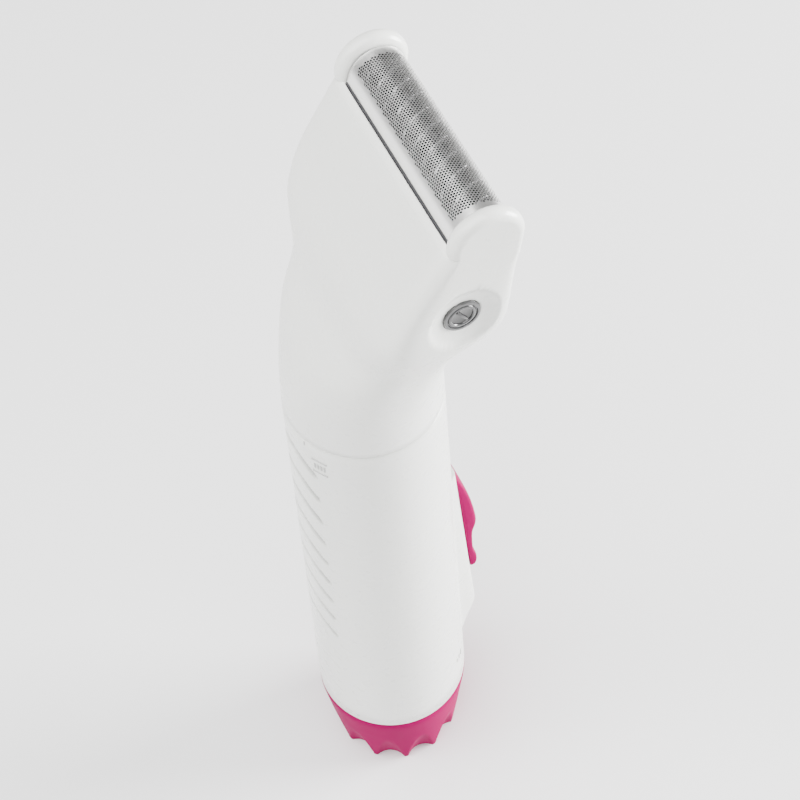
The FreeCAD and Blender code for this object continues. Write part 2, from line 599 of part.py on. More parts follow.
drum_turn = FreeCAD.Rotation(V(0, 1, 0), V(0, 0, 1), V(1, 0, 0), "XYZ")
drum_place = FreeCAD.Placement(V(val("drum_start"), val("cutter_y"), val("cutter_z")), drum_turn)
keep(feature("cutter_drum", cutter_drum(), drum_place), "cutter_drum")
for side, name in ((-1, "near_cutter_bearing"), (1, "far_cutter_bearing")):
    start = "%d * (dims.cheek_face + 0.05) - %s" % (side, 0 if side > 0 else 2.0)
    keep(tube(name, 2.58, 1.25, 2.0, (start, *AXIS), "X"), name)

# ---------------------------------------------------------------- foil cartridge
def foil_sheet():
    """A thin arch with straight skirts, along Z, opening towards -Y."""
    outer, thick, skirt = val("foil_r"), val("foil_thick"), val("skirt")
    inner = outer - thick
    edges = [Part.Arc(V(outer, 0, 0), V(0, outer, 0), V(-outer, 0, 0)).toShape(),
             Part.LineSegment(V(-outer, 0, 0), V(-outer, -skirt, 0)).toShape(),
             Part.LineSegment(V(-outer, -skirt, 0), V(-inner, -skirt, 0)).toShape(),
             Part.LineSegment(V(-inner, -skirt, 0), V(-inner, 0, 0)).toShape(),
             Part.Arc(V(-inner, 0, 0), V(0, inner, 0), V(inner, 0, 0)).toShape(),
             Part.LineSegment(V(inner, 0, 0), V(inner, -skirt, 0)).toShape(),
             Part.LineSegment(V(inner, -skirt, 0), V(outer, -skirt, 0)).toShape(),
             Part.LineSegment(V(outer, -skirt, 0), V(outer, 0, 0)).toShape()]
    return Part.Face(Part.Wire(edges)).extrude(V(0, 0, 2 * val("foil_half")))


across_head = FreeCAD.Rotation(V(1, 0, 0), val("lean")).multiply(drum_turn)
keep(feature("shaving_foil", foil_sheet(),
             FreeCAD.Placement(V(-val("foil_half"), val("cutter_y"), val("cutter_z")), across_head)), "shaving_foil")
rails = [lean_box("foil_rail_%d" % i, -20.3, 20.3, lo, lo + 0.4, -9.0, -1.75) for i, lo in enumerate((-5.6, 5.2))]
ends = []
for i, x in enumerate((-20.3, 19.3)):
    blank = fuse("foil_end_%d" % i, lean_box("foil_end_leg_%d" % i, x, x + 1, -5.3, 5.3, -9.0, 0),
                 cylinder("foil_end_arch_%d" % i, 5.3, 1, (x, *AXIS), "X"))
    slot = fuse("foil_end_slot_%d" % i, lean_box("foil_end_gate_%d" % i, x - 1, x + 2, -1.6, 1.6, -12, 0),
                cylinder("foil_end_eye_%d" % i, 1.6, 3, (x - 1, *AXIS), "X"))
    ends.append(cut("foil_end_wall_%d" % i, blank, slot))
keep(fuse("foil_frame", *rails, *ends), "foil_frame")

# ---------------------------------------------------------------- release buttons in the two flanks
cup_limit = feature("cup_limit", head_loft(val("wall") + 0.12, 201))
for side, word in ((-1, "near"), (1, "far")):
    def out(x0, x1):
        return x0 if side > 0 else -x1

    spot = ("dims.button_y", "dims.button_z")
    cap = cylinder(word + "_cap", "dims.button_r", 1.6, (out(21.7, 23.3), *spot), "X")
    flange_disc = cylinder(word + "_flange_disc", "dims.button_r + 1", 0.8, (out(20.9, 21.7), *spot), "X")
    flange = common(word + "_flange", flange_disc, cup_limit)
    post = cylinder(word + "_post", 1.6, 1.6, (out(19.3, 20.9), *spot), "X")
    keep(fuse(word + "_release_button", cap, flange, post), word + "_release_button")
    wall = tube(word + "_cup_wall", 5.5, 4.9, 7.4, (out(15.2, 22.6), *spot), "X")
    floor = cylinder(word + "_cup_floor", 5.5, 0.8, (out(14.4, 15.2), *spot), "X")
    keep(common(word + "_cup", fuse(word + "_cup_body", wall, floor), cup_limit), word + "_button_guide")
    turn = FreeCAD.Rotation(V(0, 1, 0), 90 * side)
    keep(coil(word + "_spring", 2.6, 0.45, V(side * 15.7, val("button_y"), val("button_z")), 4.7, 3, turn),
         word + "_button_spring")

# ---------------------------------------------------------------- motor leads
def lead(name, points, radius):
    solid = None
    for a, b in zip(points, points[1:]):
        run = Part.makeCylinder(radius, (b - a).Length, a, b - a)
        knee = Part.makeSphere(radius, b)
        solid = run.fuse(knee) if solid is None else solid.fuse([run, knee])
    return feature(name, solid.removeSplitter())


leads = []
for i, (x, across) in enumerate(((-10.5, -3.0), (-7.5, 3.0))):
    y, z = lean_point(TRAIN - 8.2, across)
    leads.append(lead("lead_%d" % i, [V(x, 3, 126.0), V(x, 3, 152), V(-13.5, 2 * across / 3, 168), V(-13.5, y, z)],
                      0.55))
keep(fuse("motor_leads", *leads), "motor_leads")

# ---------------------------------------------------------------- recompute, check and write
doc.recompute()
bad = [obj.Label for obj in doc.Objects if "Invalid" in obj.State or "Error" in obj.State]
if bad:
    raise SystemExit("failed objects: %s" % bad)
os.makedirs("parts", exist_ok=True)
for obj in PARTS:
    shape = obj.Shape
    if shape.isNull() or not shape.isValid():
        raise SystemExit("bad shape: %s" % obj.Label)
    extent = shape.BoundBox
    print("%-22s solids %d volume %9.1f  x %.2f..%.2f y %.2f..%.2f z %.2f..%.2f" % (
        obj.Label, len(shape.Solids), shape.Volume, extent.XMin, extent.XMax, extent.YMin, extent.YMax, extent.ZMin, extent.ZMax))
    shape.exportStep("parts/%s.step" % obj.Label)
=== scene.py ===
import json
import math

import bmesh
import bpy
from mathutils import Matrix, Vector


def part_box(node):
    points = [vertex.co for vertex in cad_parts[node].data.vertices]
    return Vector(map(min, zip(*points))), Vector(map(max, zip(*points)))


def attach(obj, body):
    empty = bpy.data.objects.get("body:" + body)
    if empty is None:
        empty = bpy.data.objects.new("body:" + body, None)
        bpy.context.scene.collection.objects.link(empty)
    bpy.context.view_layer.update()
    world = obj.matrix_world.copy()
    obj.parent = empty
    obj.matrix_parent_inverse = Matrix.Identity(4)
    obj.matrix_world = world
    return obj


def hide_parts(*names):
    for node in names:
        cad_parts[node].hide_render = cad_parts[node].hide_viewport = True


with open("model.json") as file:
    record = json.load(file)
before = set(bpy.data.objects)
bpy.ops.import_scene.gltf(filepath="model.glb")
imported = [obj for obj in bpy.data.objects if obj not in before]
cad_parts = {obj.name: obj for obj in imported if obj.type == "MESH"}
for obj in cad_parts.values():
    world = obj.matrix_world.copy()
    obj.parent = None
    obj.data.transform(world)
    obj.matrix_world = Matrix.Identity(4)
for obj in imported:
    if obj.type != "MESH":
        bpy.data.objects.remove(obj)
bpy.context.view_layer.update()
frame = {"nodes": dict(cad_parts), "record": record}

MM = 0.001
X, Y, Z = 0, 1, 2


# ------------------------------------------------------------------ places read from the frame
def middle(node):
    low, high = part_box(node)
    return (low + high) / 2 / MM


def top(node):
    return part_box(node)[1] / MM


def bottom(node):
    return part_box(node)[0] / MM


CUTTER = middle("cutter_shaft")
SEAM_Z = top("handle_shell")[Z]
NECK_Z = bottom("head_shell")[Z]
CAP_RIM_Z = bottom("handle_shell")[Z]
CAP_R = top("handle_shell")[X]
SEAM_R = 16.2
FOIL_HALF = top("shaving_foil")[X]
BUTTON = middle("near_release_button")
LEAN = math.radians(16.0)
WALL = 1.8


def handle_radius(z):
    return CAP_R + (SEAM_R - CAP_R) * (z - CAP_RIM_Z) / (SEAM_Z - CAP_RIM_Z)


def lean_point(along, across=0.0):
    """Height and depth measured along and across the leaning line of the head, from the cutter axis."""
    y = CUTTER.y - along * math.sin(LEAN) + across * math.cos(LEAN)
    z = CUTTER.z + along * math.cos(LEAN) + across * math.sin(LEAN)
    return y, z


# ------------------------------------------------------------------ shader maths
class Wire:
    """A node output that can be used in Python arithmetic."""

    def __init__(self, tree, socket):
        self.tree = tree
        self.socket = socket

    def _math(self, operation, *values):
        return self.tree.node("ShaderNodeMath", {"operation": operation}, *values)

    def __add__(self, other):
        return self._math("ADD", self, other)

    def __radd__(self, other):
        return self._math("ADD", other, self)

    def __sub__(self, other):
        return self._math("SUBTRACT", self, other)

    def __rsub__(self, other):
        return self._math("SUBTRACT", other, self)

    def __mul__(self, other):
        return self._math("MULTIPLY", self, other)

    def __rmul__(self, other):
        return self._math("MULTIPLY", other, self)

    def __truediv__(self, other):
        return self._math("DIVIDE", self, other)

    def __pow__(self, other):
        return self._math("POWER", self, other)

    def fraction(self):
        return self._math("FRACT", self)

    def above(self, edge):
        return self._math("GREATER_THAN", self, edge)


class Finish:
    """One material: a Principled shader and the nodes that feed it."""

    def __init__(self, name, metallic=0.0, coat=0.0, coat_roughness=0.05, ior=1.48, **constants):
        self.material = bpy.data.materials.new(name)
        self.material.use_nodes = True
        self.nodes = self.material.node_tree.nodes
        self.links = self.material.node_tree.links
        self.shader = self.nodes["Principled BSDF"]
        self.shader.inputs["Metallic"].default_value = metallic
        self.shader.inputs["Coat Weight"].default_value = coat
        self.shader.inputs["Coat Roughness"].default_value = coat_roughness
        self.shader.inputs["IOR"].default_value = ior
        for socket, value in constants.items():
            self.shader.inputs[socket.replace("_", " ")].default_value = value
        self.place = self.node("ShaderNodeTexCoord", {}, out="Object")

    def node(self, kind, settings, *values, out=0, at=None, **named):
        """Add a node, set its settings first, then give values or links to its sockets."""
        made = self.nodes.new(kind)
        for key, value in settings.items():
            setattr(made, key, value)
        for key, value in list(enumerate(values)) + list((at or {}).items()) + list(named.items()):
            target = made.inputs[key if isinstance(key, int) else key.replace("_", " ")]
            if isinstance(value, Wire):
                self.links.new(value.socket, target)
            else:
                target.default_value = value
        return Wire(self, made.outputs[out])

    def feed(self, socket, wire):
        self.links.new(wire.socket, self.shader.inputs[socket])

    def noise(self, scale, detail=3.0, roughness=0.5, stretch=(1, 1, 1)):
        """Noise over the piece; scale is in blobs per millimetre."""
        place = self.node("ShaderNodeMapping", {}, Vector=self.place, Scale=stretch)
        return self.node("ShaderNodeTexNoise", {}, Vector=place, Scale=scale / MM, Detail=detail,
                         Roughness=roughness)

    def axis(self, letter):
        """One coordinate of the piece, in millimetres."""
        return self.node("ShaderNodeSeparateXYZ", {}, self.place, out=letter) * (1 / MM)

    def off_line(self, centre):
        """Distance in millimetres from a line along X through a centre."""
        y = self.axis("Y") - centre.y
        z = self.axis("Z") - centre.z
        return (y * y + z * z) ** 0.5

    def mix(self, factor, a, b):
        """A colour between two colours."""
        return self.node("ShaderNodeMix", {"data_type": "RGBA"}, out=2, at={0: factor, 6: a, 7: b})

    def bump(self, height, depth_mm, strength=1.0):
        relief = self.node("ShaderNodeBump", {}, Strength=strength, Distance=depth_mm * MM, Height=height)
        self.feed("Normal", relief)

    def dress(self, colour_a, colour_b, rough_low, rough_high, grain=0.05, relief=0.02, relief_scale=2.5):
        """The usual finish: a soft drift of colour, a drift of gloss and a fine moulded or ground grain."""
        drift = self.noise(grain)
        fine = self.noise(relief_scale, detail=2.0)
        self.feed("Base Color", self.mix(drift, colour_a, colour_b))
        self.feed("Roughness", rough_low + (rough_high - rough_low) * self.noise(grain * 6))
        self.bump(fine, relief)


def rgb(r, g, b):
    return (r, g, b, 1.0)


def white_plastic(name, painted_groove_shade=False):
    """Bright glossy moulding with a faint ripple; the handle's version has painted shade greying its finger
    grooves, more where they cut deeper.
    """
    f = Finish(name, coat=0.25, coat_roughness=0.10, ior=1.5)
    shell_white, paler_white = rgb(0.83, 0.84, 0.80), rgb(0.85, 0.86, 0.83)
    # grey used as painted shade in the finger grooves
    groove_painted_shade = rgb(0.34, 0.345, 0.33)
    f.dress(shell_white, paler_white, 0.24, 0.32, relief=0.0015, relief_scale=1.2)
    if painted_groove_shade:
        # painted shade: the finger grooves are mixed towards grey by the recess attribute, which grows with
        # groove depth
        groove_shade_weight = f.node("ShaderNodeAttribute", {"attribute_name": "recess"}, out="Fac")
        shell = f.mix(f.noise(0.05), shell_white, paler_white)
        f.feed("Base Color", f.mix(groove_shade_weight, shell, groove_painted_shade))
    return f.material


def magenta_plastic():
    """Strong magenta moulding, satin so that its colour stays deep under the lights."""
    f = Finish("magenta_plastic", ior=1.46, Specular_IOR_Level=0.005)
    f.dress(rgb(0.25, 0.0, 0.068), rgb(0.28, 0.0, 0.078), 0.34, 0.44, relief=0.01, relief_scale=3)
    return f.material


def foil_steel():
    """Thin polished steel with faint drawing lines along the foil."""
    f = Finish("foil_steel", metallic=1.0)
    lines = f.noise(6.0, detail=4.0, stretch=(0.05, 1, 1))
    f.feed("Base Color", f.mix(f.noise(0.3), rgb(0.93, 0.925, 0.915), rgb(0.97, 0.965, 0.955)))
    f.feed("Roughness", 0.26 + 0.12 * lines)
    f.bump(lines, 0.003)
    return f.material


def ground_steel(name, base, rough):
    f = Finish(name, metallic=1.0)
    lines = f.noise(5.0, detail=4.0, stretch=(1, 0.08, 0.08))
    f.feed("Base Color", f.mix(lines, rgb(*base), rgb(*(min(1, c * 1.15) for c in base))))
    f.feed("Roughness", rough + 0.15 * lines)
    f.bump(lines, 0.004)
    return f.material


def drum_steel():
    """Cutter drum: a near-black core, painted shade for the dark inside of the head, with ground, bright
    blades.
    """
    f = Finish("drum_steel", metallic=1.0)
    blade = f.off_line(CUTTER).above(3.6)
    # painted shade: within 3.6 mm of the cutter axis the drum is near black; the blades outside are bright
    # steel
    f.feed("Base Color", f.mix(blade, rgb(0.012, 0.012, 0.013), rgb(0.42, 0.42, 0.43)))
    f.feed("Roughness", 0.3 + 0.15 * f.noise(2.0))
    f.bump(f.noise(5.0, stretch=(0.1, 1, 1)), 0.004)
    return f.material


def dull_plastic(name, base, rough=0.5):
    f = Finish(name, ior=1.47)
    lighter = rgb(*(min(1, c * 1.12 + 0.005) for c in base))
    f.dress(rgb(*base), lighter, rough, rough + 0.12, relief=0.02, relief_scale=4)
    return f.material


def smoked_plastic():
    """Smoked button: dark and very glossy, paler out on its thin rim."""
    f = Finish("smoked_clear_plastic", coat=0.4, coat_roughness=0.04, ior=1.49, Transmission_Weight=0.1)
    rim = f.off_line(BUTTON).above(2.05)
    f.feed("Base Color", f.mix(rim, rgb(0.016, 0.016, 0.017), rgb(0.07, 0.07, 0.072)))
    f.feed("Roughness", 0.10 + 0.08 * f.noise(0.8))
    f.bump(f.noise(1.5), 0.01)
    return f.material


def cell_jacket():
    """Battery jacket: a dark band, a coppery band and a bright bare rim."""
    f = Finish("cell_jacket", metallic=0.6, coat=0.5)
    height = ((f.axis("Z") - 14.5) / 50.0).fraction()
    band = height.above(0.68)
    rim = height.above(0.955)
    jacket = f.mix(band, rgb(0.02, 0.03, 0.07), rgb(0.62, 0.34, 0.14))
    f.feed("Base Color", f.mix(rim, jacket, rgb(0.75, 0.75, 0.74)))
    f.feed("Roughness", 0.25 + 0.15 * f.noise(0.5))
    return f.material


WHITE = white_plastic("white_shell_plastic")
HANDLE_WHITE = white_plastic("white_plastic_painted_groove_shade", painted_groove_shade=True)
MAGENTA = magenta_plastic()
FOIL = foil_steel()
BLADE = ground_steel("blade_steel", (0.50, 0.50, 0.51), 0.26)
DRUM = drum_steel()
MOTOR = ground_steel("motor_steel", (0.62, 0.62, 0.61), 0.30)
BRIGHT = ground_steel("bright_wire", (0.70, 0.70, 0.71), 0.16)
BRASS = ground_steel("contact_brass", (0.74, 0.55, 0.24), 0.22)
COPPER = ground_steel("copper_winding", (0.72, 0.33, 0.17), 0.28)
BRONZE = ground_steel("sintered_bronze", (0.45, 0.28, 0.14), 0.42)
NYLON = dull_plastic("grey_nylon", (0.07, 0.07, 0.072), 0.42)
GREY = dull_plastic("dark_frame_plastic", (0.035, 0.035, 0.038), 0.40)
INNER = dull_plastic("inner_plastic", (0.66, 0.66, 0.64), 0.45)
MARKS = dull_plastic("printed_marks", (0.42, 0.42, 0.41), 0.45)
RUBBER = dull_plastic("seal_rubber", (0.02, 0.02, 0.02), 0.65)
FERRITE = dull_plastic("ferrite", (0.06, 0.06, 0.065), 0.55)
INSULATION = dull_plastic("wire_insulation", (0.50, 0.03, 0.025), 0.45)
SMOKED = smoked_plastic()
JACKET = cell_jacket()

DRESS = {
    "white_shell": WHITE, "magenta": MAGENTA, "smoked_clear": SMOKED, "foil_steel": FOIL,
    "blade_steel": BLADE,
    "frame_grey": GREY, "gear_nylon": NYLON, "motor_steel": MOTOR, "magnet": FERRITE, "copper": COPPER,
    "contact_brass": BRASS, "spring_steel": BRIGHT, "cell_jacket": JACKET, "rubber_seal": RUBBER,
    "bronze": BRONZE, "lead_wire": INSULATION, "inner_plastic": INNER,
}

for part in frame["record"]["subparts"]:
    mesh = frame["nodes"][part["node"]].data
    mesh.materials.clear()
    finish = DRUM if part["node"] == "cutter_drum" else DRESS[part["material_slot"]]
    mesh.materials.append(finish)


# ------------------------------------------------------------------ mesh helpers, all in millimetres
def piece(name, bm, material, body, replaces=(), smooth=45.0):
    """Turn a bmesh in millimetres into a finished piece riding on a body."""
    bmesh.ops.transform(bm, matrix=Matrix.Scale(MM, 4), verts=bm.verts)
    mesh = bpy.data.meshes.new(name)
    bm.to_mesh(mesh)
    bm.free()
    mesh.materials.append(material)
    for polygon in mesh.polygons:
        polygon.use_smooth = True
    mesh.set_sharp_from_angle(angle=math.radians(smooth))
    obj = bpy.data.objects.new(name, mesh)
    bpy.context.scene.collection.objects.link(obj)
    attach(obj, body)
    if replaces:
        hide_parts(*replaces)
    return obj


def ring(bm, count, place):
    """A closed loop of vertices, each put where place(i) says."""
    made = bmesh.ops.create_circle(bm, cap_ends=False, segments=count, radius=1.0)["verts"]
    for i, vert in enumerate(made):
        vert.co = place(i)
    return made


def loop_edges(bm, verts):
    """The edges of a closed loop of vertices."""
    return [bm.edges.get(pair) for pair in zip(verts, verts[1:] + verts[:1])]


def next_ring(bm, verts, place):
    """Extrude the last loop and move its copy where place(i) says."""
    made = bmesh.ops.extrude_edge_only(bm, edges=loop_edges(bm, verts))["geom"]
    fresh = {v for v in made if isinstance(v, bmesh.types.BMVert)}
    loop = []
    for i, vert in enumerate(verts):
        twin = next(e.other_vert(vert) for e in vert.link_edges if e.other_vert(vert) in fresh)
        twin.co = place(i)
        loop.append(twin)
    return loop


def skin(count, places, closed=False):
    """A surface through a list of loops; each place is a function of the column number."""
    bm = bmesh.new()
    first = verts = ring(bm, count, places[0])
    for place in places[1:]:
        verts = next_ring(bm, verts, place)
    if closed:
        bmesh.ops.bridge_loops(bm, edges=loop_edges(bm, first) + loop_edges(bm, verts))
    bmesh.ops.recalc_face_normals(bm, faces=bm.faces)
    return bm


def cap_loop(bm, verts):
    bmesh.ops.contextual_create(bm, geom=list(verts) + loop_edges(bm, verts))


def stack(bm, count, places):
    """A closed solid through a list of loops, with a flat face on its first and last."""
    verts = ring(bm, count, places[0])
    cap_loop(bm, verts)
    for place in places[1:]:
        verts = next_ring(bm, verts, place)
    cap_loop(bm, verts)
    bmesh.ops.recalc_face_normals(bm, faces=bm.faces)


def rounded_bar(bm, extent, place, edge):
    """A small bar, turned and moved by a matrix, with its edges rounded."""
    bar = bmesh.ops.create_cube(bm, size=1.0)["verts"]
    bmesh.ops.scale(bm, vec=extent, verts=bar)
    bmesh.ops.transform(bm, matrix=place, verts=bar)
    corners = set(bar)
    edges = [e for e in bm.edges if e.verts[0] in corners]
    bmesh.ops.bevel(bm, geom=edges, offset=edge, affect="EDGES", segments=2, profile=0.5, material=-1)


def open_window(bm, inside):
    """Removes the faces whose middle passes a test, and gives the edges left open."""
    window = [f for f in bm.faces if inside(f.calc_center_median())]
    bmesh.ops.delete(bm, geom=window, context="FACES")
    return [e for e in bm.edges if e.is_boundary]


def face_towards(bm, direction):
    """Turns an open sheet so that its front looks along a direction."""
    bmesh.ops.recalc_face_normals(bm, faces=bm.faces)
    if sum(f.normal.dot(direction) for f in bm.faces) < 0:
        bmesh.ops.reverse_faces(bm, faces=bm.faces)


def polar(radius, turn, z):
    return Vector((radius * math.cos(turn), radius * math.sin(turn), z))


def soft_min(a, b, soft):
    """The smaller of two values, with the change from one to the other rounded off."""
    h = min(max(0.5 + 0.5 * (b - a) / soft, 0.0), 1.0)
    return b * (1 - h) + a * h - soft * h * (1 - h)


# ------------------------------------------------------------------ head shell
STATIONS = [
    # height, front y, back y, half width, squareness at the back, squareness at the front
    (NECK_Z, -SEAM_R, SEAM_R, SEAM_R, 2.0, 2.0),
    (158.0, -15.8, 15.2, 16.9, 2.1, 2.1),
    (170.0, -16.6, 11.8, 18.9, 2.6, 2.4),
    (178.0, -18.4, 7.0, 20.8, 3.2, 3.2),
    (184.0, -20.4, 5.2, 23.2, 4.6, 6.5),
    (189.0, -21.1, 3.8, 24.0, 6.5, 10.0),
    (197.0, -21.9, 0.0, 24.1, 9.0, 11.0),
    (204.0, -22.6, -4.4, 24.1, 9.0, 11.0),
    (211.0, -23.4, -8.8, 24.1, 9.0, 11.0),
]
CHEEK_OUT = 24.1
CHEEK_IN = 20.6
RIM_R = 7.1
RIM_FOOT_R = 5.5
BAY_HALF = 5.74
BACK_LIP = -2.3
FRONT_LIP = -4.03
BAY_FLOOR = -12.0
ARCH_START = math.radians(-5.0)
ARCH_LENGTH = RIM_R * (math.pi - ARCH_START)
LEG_LENGTH = 5.5
LEG_LEAN = 0.8
RIM_LENGTH = ARCH_LENGTH + LEG_LENGTH
RIM_CORNER = 0.75
OUTER_FRONT, OUTER_BACK = -22.8, -8.4
CREST_FRONT, CREST_BACK = -21.9, -9.2
SQUARE_FRONT, SQUARE_BACK = 11.0, 8.0
SHOULDER_Z = 200.0
DISH_Y, DISH_Z = 6.8, 7.6
DISH_DEPTH = 1.6
INSIDE_X = 15.0


def station(z):
    """Front, back, half width and two squarenesses of the head at a height, smooth through the stations."""
    rows = STATIONS
    if z >= rows[-1][0]:
        a, b = rows[-2], rows[-1]
        f = (z - b[0]) / (b[0] - a[0])
        return [b[k] + (b[k] - a[k]) * f for k in range(1, 6)]
    i = max(k for k in range(len(rows) - 1) if rows[k][0] <= z)
    a, b = rows[i], rows[i + 1]
    before, after = rows[max(i - 1, 0)], rows[min(i + 2, len(rows) - 1)]
    gap = b[0] - a[0]
    f = (z - a[0]) / gap
    values = []
    for k in range(1, 6):
        slope_a = (b[k] - before[k]) / (b[0] - before[0])
        slope_b = (after[k] - a[k]) / (after[0] - a[0])
        values.append(a[k] * (1 + 2 * f) * (1 - f) ** 2 + b[k] * f * f * (3 - 2 * f)
                      + gap * (slope_a * f * (1 - f) ** 2 + slope_b * f * f * (f - 1)))
    return values


def squared(theta, half, front, back, power, front_power=None):
    """A point of a rounded rectangle in plan; power 2 is an ellipse, and the front may be squarer."""
    c, s = math.cos(theta), math.sin(theta)
    if s < 0 and front_power:
        power = front_power
    r = (abs(c) ** power + abs(s) ** power) ** (-1 / power)
    return half * r * c, (front + back) / 2 + (back - front) / 2 * r * s


def blend(f):
    f = min(max(f, 0.0), 1.0)
    return f * f * (3 - 2 * f)


def arch(s, radius):
    """A point (y, z) on a cheek's rim, a length s from its back end: round the foil, then down the front."""
    if s <= ARCH_LENGTH:
        turn = ARCH_START + s / RIM_R
        return CUTTER.y + radius * math.cos(turn), CUTTER.z + radius * math.sin(turn)
    drop = (s - ARCH_LENGTH) / LEG_LENGTH
    return CUTTER.y - radius + LEG_LEAN * drop, CUTTER.z - LEG_LENGTH * drop


def dished(point):
    """Sinks the oval finger recess round each release button."""
    v = ((point.y - BUTTON.y) / DISH_Y) ** 2 + ((point.z - BUTTON.z) / DISH_Z) ** 2
    if v < 1 and abs(point.x) > INSIDE_X:
        point.x -= math.copysign(DISH_DEPTH * (1 - v) ** 0.5, point.x)
    return point


class Column:
    """One upright line of the head shell, from the neck over the rim and down into the foil bay."""

    def __init__(self, theta):
        self.theta = theta
        side = 1 if math.cos(theta) >= 0 else -1
        slant = math.atan2(math.sin(theta), abs(math.cos(theta)))
        share = slant / math.radians(45)
        on_cheek = abs(share) <= 1
        back = slant > 0
        lip = BACK_LIP if back else FRONT_LIP
        lip_y, lip_z = lean_point(lip, BAY_HALF if back else -BAY_HALF)
        level = lip_z - (0.6 if back else 1.2)
        crest_half = (CHEEK_OUT + CHEEK_IN) / 2
        outer_x, outer_y = squared(theta, CHEEK_OUT, OUTER_FRONT, OUTER_BACK, SQUARE_BACK, SQUARE_FRONT)
        crest_x, crest_y = squared(theta, crest_half, CREST_FRONT, CREST_BACK, SQUARE_BACK, SQUARE_FRONT)
        outer = Vector((outer_x, outer_y, level))
        crest = Vector((crest_x, crest_y, lip_z + (0.1 if back else 0)))
        reach, across = CHEEK_IN, BAY_HALF * math.tan(slant)
        if not on_cheek:
            reach = CHEEK_IN / abs(math.tan(slant))
            across = math.copysign(BAY_HALF, slant)
        inner = Vector((side * reach, lip_y, lip_z))
        floor_y, floor_z = lean_point(BAY_FLOOR, across)
        self.floor = Vector((side * reach, floor_y, floor_z))
        if on_cheek:
            s = (RIM_CORNER - share) / (2 * RIM_CORNER) * RIM_LENGTH
            s = min(max(s, 0.0), RIM_LENGTH)
            corner = blend((abs(share) - RIM_CORNER) / (1 - RIM_CORNER))
            foot = arch(s, RIM_FOOT_R)
            outer = Vector((side * CHEEK_OUT, *foot)).lerp(outer, corner)
            crest = Vector((side * crest_half, *arch(s, RIM_R))).lerp(crest, corner)
            inner = Vector((side * CHEEK_IN, *foot)).lerp(inner, corner)
        self.outer, self.crest, self.inner = outer, crest, inner

    def wall(self, z, inset=0.0):
        front, back, half, power, front_power = station(z)
        x, y = squared(self.theta, half - inset, front + inset, back - inset, power, front_power)
        return Vector((x, y, z))

    def flank(self, z):
        return dished(self.wall(z))

    def shoulder(self, f):
        """From the height of the bay floor up to the outer foot of the rim."""
        z = SHOULDER_Z + (self.outer.z - SHOULDER_Z) * f
        return dished(self.wall(z).lerp(self.outer, blend(f)))

    def rim(self, q):
        middle_point = (self.outer + self.inner) / 2
        half_span = (self.outer - self.inner) / 2
        return (middle_point + half_span * math.cos(math.pi * q)
                + (self.crest - middle_point) * math.sin(math.pi * q))

    def bay(self, f):
        return self.inner.lerp(self.floor, f)


def head_shell():
    count = 288
    columns = [Column(2 * math.pi * (i + 0.5) / count) for i in range(count)]
    heights = [NECK_Z + 0.3 + 37.0 * (k / 18) for k in range(19)]
    heights += [heights[-1] + (SHOULDER_Z - heights[-1]) * (k / 24) for k in range(1, 25)]
    rows = [lambda i: columns[i].wall(NECK_Z, 0.3)]
    rows += [lambda i, z=z: columns[i].flank(z) for z in heights]
    rows += [lambda i, f=k / 16: columns[i].shoulder(f) for k in range(1, 16)]
    rows += [lambda i, q=k / 12: columns[i].rim(q) for k in range(13)]
    rows += [lambda i, f=k / 5: columns[i].bay(f) for k in range(1, 6)]
    rows += [lambda i, z=z: columns[i].wall(z, WALL)
             for z in (195.5, 192, 188, 184, 180, 175, 170, 164, 158, 152, NECK_Z)]
    bm = skin(count, rows, closed=True)
    for side in (-1, 1):
        button_hole(bm, side)
    bmesh.ops.recalc_face_normals(bm, faces=bm.faces)
    piece("head_shell_moulding", bm, WHITE, "head", ["head_shell"], smooth=50)


def button_hole(bm, side):
    """Opens a round hole through the flank and joins the two skins round it."""
    hole = 3.75

    def off(point):
        return math.hypot(point.y - BUTTON.y, point.z - BUTTON.z)

    edges = open_window(bm, lambda spot: spot.x * side > INSIDE_X and off(spot) < hole)
    for vert in {v for e in edges for v in e.verts}:
        reach = hole / off(vert.co)
        vert.co.y = BUTTON.y + (vert.co.y - BUTTON.y) * reach
        vert.co.z = BUTTON.z + (vert.co.z - BUTTON.z) * reach
    bmesh.ops.bridge_loops(bm, edges=edges)


head_shell()


# ------------------------------------------------------------------ perforated foil
FOIL_R = 5.47
FOIL_THICK = 0.12
FOIL_SKIRT = 1.7
HOLE_PITCH = 0.553
WEB = 0.135
ROW_SLANT = math.atan2(math.sqrt(3) / 2, 4.5)
SHEET_HALF, SHEET_HALF_WIDTH = 24.0, 15.0
HOLES_START, HOLES_END = -19.0, 18.7
HOLES_TURN = math.radians(70)


